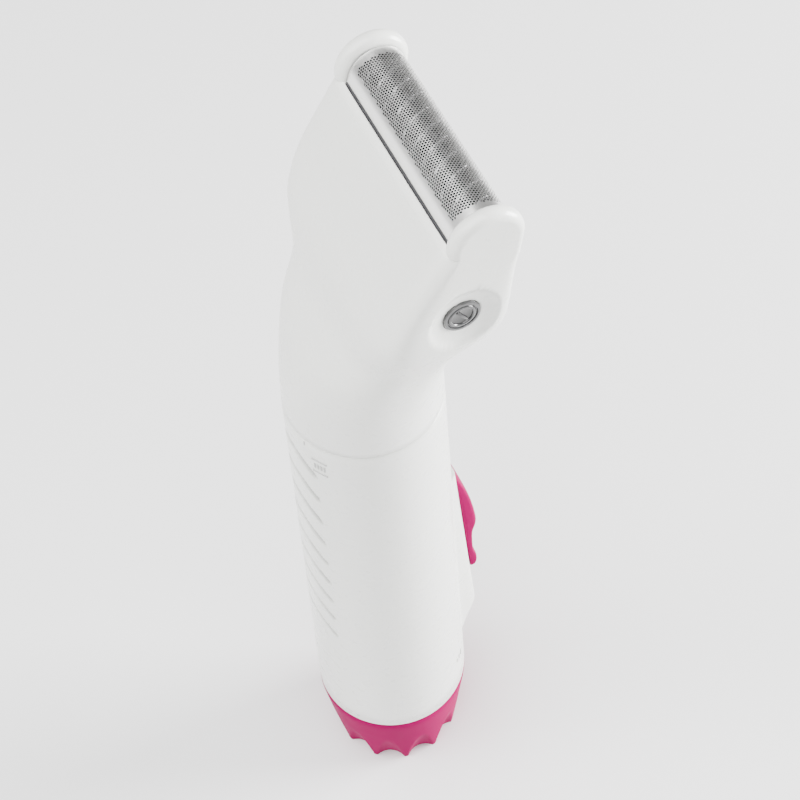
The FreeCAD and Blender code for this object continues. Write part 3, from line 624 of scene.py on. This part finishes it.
def perforated_foil():
    """A honeycomb sheet, its rows askew, pierced inside plain margins, then rolled over the cutter."""
    half_arc = FOIL_R * math.pi / 2
    half_width = half_arc + FOIL_SKIRT
    side = HOLE_PITCH / math.sqrt(3)
    row = 1.5 * side
    across_count, along_count = 4 * round(SHEET_HALF / HOLE_PITCH), 2 * round(SHEET_HALF_WIDTH / row)
    bm = bmesh.new()
    bmesh.ops.create_grid(bm, x_segments=across_count, y_segments=along_count, size=1.0)
    spot = {}
    for vert in bm.verts:
        spot[vert] = (round((vert.co.x + 1) / 2 * across_count), round((vert.co.y + 1) / 2 * along_count))
    spare = []
    for edge in bm.edges:
        (i, j), (k, m) = (spot[v] for v in edge.verts)
        if i == k and 0 < i < across_count and (i + min(j, m)) % 2:
            spare.append(edge)
    turn = Matrix.Rotation(ROW_SLANT, 2)
    for vert, (i, j) in spot.items():
        u = (i - across_count / 2) * HOLE_PITCH / 2
        v = (j - along_count / 2) * row + (0.25 if (i + j) % 2 == 0 else -0.25) * side
        u, v = turn @ Vector((u, v))
        vert.co = (u, v, 0)
    bmesh.ops.dissolve_edges(bm, edges=spare, use_verts=False)
    for edge in ((FOIL_HALF, 0, 0), (-FOIL_HALF, 0, 0), (0, half_width, 0), (0, -half_width, 0)):
        whole = bm.verts[:] + bm.edges[:] + bm.faces[:]
        outwards = Vector(edge).normalized()
        bmesh.ops.bisect_plane(bm, geom=whole, plane_co=edge, plane_no=outwards, clear_outer=True)
    field = [f for f in bm.faces if HOLES_START < f.calc_center_median().x < HOLES_END
             and abs(f.calc_center_median().y) < HOLES_TURN * FOIL_R and len(f.verts) == 6]
    bmesh.ops.inset_individual(bm, faces=field, thickness=WEB / 2, use_even_offset=True)
    bmesh.ops.delete(bm, geom=field, context="FACES")
    face_towards(bm, Vector((0, 0, 1)))
    bmesh.ops.solidify(bm, geom=bm.faces[:], thickness=FOIL_THICK)
    for vert in bm.verts:
        u, v, w = vert.co
        radius = FOIL_R - abs(w)
        if abs(v) <= half_arc:
            across, along = radius * math.sin(v / FOIL_R), radius * math.cos(v / FOIL_R)
        else:
            across, along = math.copysign(radius, v), half_arc - abs(v)
        vert.co = (u, *lean_point(along, across))
    bmesh.ops.recalc_face_normals(bm, faces=bm.faces)
    piece("perforated_foil", bm, FOIL, "foil_cartridge", ["shaving_foil"], smooth=40)


perforated_foil()


# ------------------------------------------------------------------ release buttons
BUTTON_PROFILE = [
    # distance out from the middle of the head, radius: hub, flange, side, rim, ring and slotted middle
    (19.35, 1.5), (20.9, 1.55), (20.95, 3.9), (21.65, 3.95), (21.7, 3.6), (22.95, 3.6), (23.15, 3.5),
    (23.22, 3.3), (23.2, 3.0), (22.9, 2.9), (22.86, 2.75), (23.1, 2.62), (23.18, 2.5), (23.18, 2.2),
    (23.08, 2.08), (22.84, 2.0), (22.8, 1.9), (22.8, 0.3),
]
BAR_OUT, BAR_TURN = 22.95, math.radians(-35)


def release_button(word, side):
    """A turned cap about a line along X, with a raised bar across its sunken middle."""
    count = 72

    def place(out, radius):
        return lambda i: Vector((side * out, BUTTON.y + radius * math.cos(2 * math.pi * i / count),
                                 BUTTON.z + radius * math.sin(2 * math.pi * i / count)))

    bm = bmesh.new()
    stack(bm, count, [place(*step) for step in BUTTON_PROFILE])
    at = Matrix.Translation((side * BAR_OUT, BUTTON.y, BUTTON.z)) @ Matrix.Rotation(BAR_TURN, 4, "X")
    rounded_bar(bm, (0.3, 0.5, 3.4), at, 0.1)
    piece(word + "_button_cap", bm, SMOKED, word + "_release_button",
          [word + "_release_button"], smooth=35)


release_button("near", -1)
release_button("far", 1)


# ------------------------------------------------------------------ handle shell
HANDLE_Z = bottom("handle_shell")[Z]
GRIP_MID = math.radians(90.0)
GRIP_HALF = math.radians(28.5)
GRIPS = [(67.0 + 8.05 * k + 0.062 * k * k, 0.80 + 0.04 * k) for k in range(9)]
GRIP_RISE = 4.2
GRIP_DEPTH = 1.0
SLOT_HALF, SLOT_LOW, SLOT_HIGH = 3.4, 62.0, 87.4


def grip_depth(turn, z):
    """How deep the finger grooves cut the handle at an angle and height."""
    swing = abs(turn - GRIP_MID)
    if swing > GRIP_HALF:
        return 0.0
    arc = GRIP_RISE * math.cos(math.pi / 2 * swing / GRIP_HALF)
    run_out = (GRIP_HALF - swing) * handle_radius(z)
    for end_z, half in GRIPS:
        reach = half
        if run_out < half:
            reach = half * math.sqrt(max(1 - (1 - run_out / half) ** 2, 1e-4))
        off = abs(z - end_z - arc) / reach
        if off < 1:
            return GRIP_DEPTH * math.sqrt(1 - off * off) * min(1.0, run_out / half + 0.3)
    return 0.0


def handle_shell():
    slot_turn = math.asin(SLOT_HALF / handle_radius(SLOT_HIGH))
    front = -math.pi / 2
    turns = [front - slot_turn + 2 * slot_turn * k / 8 for k in range(8)]
    grip_from, grip_to = GRIP_MID - GRIP_HALF - 0.05, GRIP_MID + GRIP_HALF + 0.05
    turns += [front + slot_turn + (grip_from - front - slot_turn) * k / 52 for k in range(52)]
    turns += [grip_from + (grip_to - grip_from) * k / 72 for k in range(72)]
    turns += [grip_to + (front + 2 * math.pi - slot_turn - grip_to) * k / 52 for k in range(52)]
    z_low, z_high = 64.0, 142.4
    levels = [HANDLE_Z + 0.35, 32, 40, 48, 56, SLOT_LOW]
    levels += [z_low + (SLOT_HIGH - z_low) * k / 60 for k in range(61)]
    levels += [SLOT_HIGH + (z_high - SLOT_HIGH) * k / 144 for k in range(1, 145)]
    levels += [144.5, SEAM_Z - 0.35]

    def skin_point(z, cut=0.0, dent=True):
        def place(i):
            r = handle_radius(z) - cut - (grip_depth(turns[i], z) if dent else 0.0)
            return polar(r, turns[i], z)
        return place

    rows = [skin_point(HANDLE_Z, 0.35, False)]
    rows += [skin_point(z) for z in levels]
    rows += [skin_point(SEAM_Z, 0.3, False)]
    rows += [skin_point(z, WALL, False) for z in (SEAM_Z, SLOT_HIGH, SLOT_LOW, HANDLE_Z)]
    bm = skin(len(turns), rows, closed=True)
    edges = open_window(bm, lambda spot: (abs(spot.x) < SLOT_HALF - 0.01 and spot.y < 0
                                          and SLOT_LOW < spot.z < SLOT_HIGH))
    bmesh.ops.bridge_loops(bm, edges=edges)
    bmesh.ops.recalc_face_normals(bm, faces=bm.faces)
    handle = piece("handle_moulding", bm, HANDLE_WHITE, "handle", ["handle_shell"], smooth=50)
    # weight of the painted shade in the finger grooves, more where a groove cuts deeper; read by the
    # handle's material
    recess = handle.data.attributes.new("recess", "FLOAT", "POINT")
    for vert in handle.data.vertices:
        x, y, z = vert.co / MM
        on_outside = math.hypot(x, y) > handle_radius(z) - WALL + 0.1
        if on_outside:
            recess.data[vert.index].value = min(1.0, grip_depth(math.atan2(y, x), z) / GRIP_DEPTH * 1.3)


handle_shell()


def raised_mark(bm, turn_deg, z, wide, tall):
    """A small rounded bar standing on the handle's skin."""
    lift, sunk = 0.12, 0.4
    r = handle_radius(z) - sunk / 2 + lift / 2
    at = Matrix.Rotation(math.radians(turn_deg), 4, "Z") @ Matrix.Translation((r, 0, z))
    rounded_bar(bm, (sunk + lift, wide, tall), at, 0.06)


def handle_marks():
    """Plain moulded marks: a tick under the seam, a small stack of bars, and bars by the cap."""
    bm = bmesh.new()
    raised_mark(bm, 110, SEAM_Z - 0.85, 0.35, 1.1)
    for z in (142.6, 138.4):
        raised_mark(bm, 122, z, 3.6, 0.35)
    for k in range(4):
        raised_mark(bm, 118.2 + 2.6 * k, 140.5, 0.45, 1.6)
    for k in range(3):
        raised_mark(bm, -130.5 - 4.0 * k, 39.2, 0.4, 2.6 - 0.6 * k)
    bmesh.ops.recalc_face_normals(bm, faces=bm.faces)
    piece("handle_marks", bm, MARKS, "handle", smooth=40)


handle_marks()


# ------------------------------------------------------------------ battery cap
CAP_FOOT_R, CAP_FOOT_ROUND = 15.3, 1.2
FLUTES, FLUTE_PHASE, FLUTE_R = 12, math.radians(119.2), 4.6
FLUTE_DEPTH, FLUTE_TILT = 2.3, math.radians(15)
FLUTE_EDGE = 0.22
NECK_R, LUG_R, WELL_R = 14.6, 15.7, 11.6
CAP_TOP = top("battery_cap")[Z]


def cap_skin(turn, z):
    """Radius of the fluted cap; the flutes are scooped round and die out half way up."""
    plain = CAP_FOOT_R + (CAP_R - 0.25 - CAP_FOOT_R) * max(z - CAP_FOOT_ROUND, 0) / (CAP_RIM_Z - 5.2)
    plain = min(plain, CAP_R)
    pitch = 2 * math.pi / FLUTES
    swing = (turn - FLUTE_PHASE + pitch / 2) % pitch - pitch / 2
    centre = CAP_FOOT_R + FLUTE_R - FLUTE_DEPTH + z * math.tan(FLUTE_TILT)
    inside = FLUTE_R ** 2 - (centre * math.sin(swing)) ** 2
    if inside <= 0:
        return plain
    scoop = centre * math.cos(swing) - math.sqrt(inside)
    return soft_min(plain, scoop, FLUTE_EDGE)


def battery_cap():
    count = FLUTES * 24

    def wall(z, cut=0.0):
        def place(i):
            turn = 2 * math.pi * i / count
            return polar(cap_skin(turn, z) - cut, turn, z)
        return place

    def foot(q):
        def place(i):
            turn = 2 * math.pi * i / count
            r = cap_skin(turn, CAP_FOOT_ROUND) - CAP_FOOT_ROUND * (1 - math.sin(q))
            return polar(r, turn, CAP_FOOT_ROUND * (1 - math.cos(q)))
        return place

    def plain(radius, z, lug_radius=None):
        def place(i):
            turn = 2 * math.pi * i / count
            lug = lug_radius is not None and math.degrees(turn) % 120 <= 20
            return polar(lug_radius if lug else radius, turn, z)
        return place

    rim = CAP_RIM_Z - 0.3
    rows = [plain(4.0, 0.0), plain(11.0, 0.0)] + [foot(math.pi / 2 * k / 5) for k in range(6)]
    rows += [wall(CAP_FOOT_ROUND + (18.0 - CAP_FOOT_ROUND) * k / 34) for k in range(1, 35)]
    rows += [wall(20.0), wall(22.3), wall(24.5), wall(rim - 0.3), wall(rim, 0.3)]
    rows += [plain(NECK_R, rim), plain(NECK_R, 30.9), plain(NECK_R, 30.92, LUG_R)]
    rows += [plain(NECK_R, 32.68, LUG_R), plain(NECK_R, 32.7), plain(NECK_R, CAP_TOP - 0.2)]
    rows += [plain(14.4, CAP_TOP), plain(13.4, CAP_TOP)]
    rows += [plain(13.35, 14.0), plain(WELL_R, 12.5), plain(WELL_R, 2.2), plain(3.0, 2.2)]
    bm = bmesh.new()
    stack(bm, count, rows)
    piece("battery_cap_moulding", bm, MAGENTA, "battery_cap", ["battery_cap"], smooth=50)


battery_cap()


# ------------------------------------------------------------------ slide switch
def housing_crest(z):
    """How far the switch housing stands from the handle's axis."""
    rising = 17.75 + (z - 43.4) * 0.396
    falling = 20.6 - (z - 52.0) * 0.068
    return soft_min(rising, falling, 1.2)


def switch_housing():
    """A wedge that grows out of the handle, hollow behind, with the slot for the slider's stem."""
    half, flat, slot, slot_low, slot_high = 8.3, 5.6, 1.6, 66.0, 88.0
    across = [-half + (half - flat) * k / 10 for k in range(10)] + [-flat, -4.6, -3.6, -2.6, -slot, 0]
    across += [-x for x in reversed(across[:-1])]
    heights = [42.6 + 0.5 * k for k in range(24)] + [54.5 + 2.3 * k for k in range(5)]
    heights += [slot_low + (slot_high - slot_low) * k / 8 for k in range(9)]
    heights += [slot_high + (112.0 - slot_high) * k / 14 for k in range(1, 15)]
    bm = bmesh.new()
    bmesh.ops.create_grid(bm, x_segments=len(across) - 1, y_segments=len(heights) - 1, size=1.0)
    for vert in bm.verts:
        x = across[round((vert.co.x + 1) / 2 * (len(across) - 1))]
        z = heights[round((vert.co.y + 1) / 2 * (len(heights) - 1))]
        skin_y = math.sqrt(handle_radius(z) ** 2 - x * x) - 0.25
        rise = blend((half - abs(x)) / (half - flat))
        vert.co = (x, -(skin_y + max(housing_crest(z) - skin_y, 0) * rise), z)
    open_window(bm, lambda spot: abs(spot.x) < slot and slot_low < spot.z < slot_high)
    face_towards(bm, Vector((0, -1, 0)))
    bmesh.ops.solidify(bm, geom=bm.faces[:], thickness=1.3)
    bmesh.ops.recalc_face_normals(bm, faces=bm.faces)
    piece("switch_housing_moulding", bm, WHITE, "handle", ["switch_housing"], smooth=50)


switch_housing()

SLIDER_BACK = [
    # height, distance of the thumb face from the handle's axis
    (106.0, 17.35), (104.6, 18.15), (102.0, 19.15), (98.0, 20.3), (94.0, 21.15), (90.0, 21.8), (87.0, 22.15),
    (85.4, 22.22), (84.0, 22.0), (82.6, 21.5), (81.2, 21.12), (79.5, 20.98), (76.5, 20.98), (73.6, 21.02),
    (72.2, 21.25), (70.6, 21.75), (69.2, 22.05), (68.0, 22.1), (66.8, 21.85), (65.6, 21.3), (64.8, 20.75),
    (64.5, 20.45),
]


def slider():
    """A thumb slider with a long ramp, a saddle and a small second bump."""
    count = 48
    stations = []
    for (z0, y0), (z1, y1) in zip(SLIDER_BACK, SLIDER_BACK[1:]):
        stations += [(z0 + (z1 - z0) * f, y0 + (y1 - y0) * f) for f in (0.0, 0.5)]
    stations.append(SLIDER_BACK[-1])
    high, low = SLIDER_BACK[0][0], SLIDER_BACK[-1][0]

    def place(z, face):
        under = 17.05 + (high - z) * 0.0759
        end = min(high - z, z - low)
        half = 5.0 - 1.3 * (1 - min(end / 2.2, 1.0)) ** 2

        def put(i):
            x, y = squared(2 * math.pi * i / count, half, -face, -under, 5.0)
            return Vector((x, y, z))
        return put

    bm = bmesh.new()
    stack(bm, count, [place(*spot) for spot in stations])
    stem = bmesh.ops.create_cube(bm, size=1.0)["verts"]
    bmesh.ops.scale(bm, vec=(2.4, 4.2, 6.0), verts=stem)
    bmesh.ops.translate(bm, vec=(0, -18.7, 82.0), verts=stem)
    piece("slider_moulding", bm, MAGENTA, "power_slider", ["power_slider"], smooth=40)


slider()


# ------------------------------------------------------------------ stage, light and camera
CAMERA_AT = (-0.20322, 0.07363, 0.46953)
CAMERA_TURN = (33.354, 2.502, -115.605)
CAMERA_LENS = 88.56


def floor():
    bm = bmesh.new()
    bmesh.ops.create_grid(bm, x_segments=2, y_segments=2, size=4.0)
    mesh = bpy.data.meshes.new("floor")
    bm.to_mesh(mesh)
    bm.free()
    obj = bpy.data.objects.new("floor", mesh)
    bpy.context.scene.collection.objects.link(obj)
    f = Finish("pale_floor", Roughness=0.9, Specular_IOR_Level=0.1)
    f.feed("Base Color", f.mix(f.noise(0.002), rgb(0.90, 0.90, 0.90), rgb(0.93, 0.93, 0.93)))
    mesh.materials.append(f.material)


def panel(name, at, aim, width, height, power):
    """A soft rectangular light aimed at a point."""
    data = bpy.data.lights.new(name, "AREA")
    data.shape = "RECTANGLE"
    data.size = width
    data.size_y = height
    data.energy = power
    obj = bpy.data.objects.new(name, data)
    bpy.context.scene.collection.objects.link(obj)
    obj.location = at
    obj.rotation_euler = (Vector(aim) - Vector(at)).to_track_quat("-Z", "Y").to_euler()


def room():
    """Soft light all round, with a large panel overhead and one at each side."""
    world = bpy.data.worlds.new("soft_room")
    bpy.context.scene.world = world
    world.use_nodes = True
    background = world.node_tree.nodes["Background"]
    background.inputs["Color"].default_value = rgb(1.0, 1.0, 0.99)
    background.inputs["Strength"].default_value = 0.32
    mid_handle = (0, 0, 0.12)
    panel("overhead_panel", (-0.10, 0.35, 1.10), (0, 0, 0), 1.1, 1.1, 34.0)
    panel("back_panel", (0.25, 0.95, 0.55), mid_handle, 0.4, 0.8, 4.0)
    panel("switch_side_panel", (-0.22, -0.95, 0.27), mid_handle, 0.5, 0.5, 44.0)


def camera():
    data = bpy.data.cameras.new("view")
    data.lens = CAMERA_LENS
    data.sensor_width = 36.0
    data.clip_start = 0.01
    obj = bpy.data.objects.new("view", data)
    bpy.context.scene.collection.objects.link(obj)
    obj.location = CAMERA_AT
    obj.rotation_euler = [math.radians(turn) for turn in CAMERA_TURN]
    bpy.context.scene.camera = obj


floor()
room()
camera()
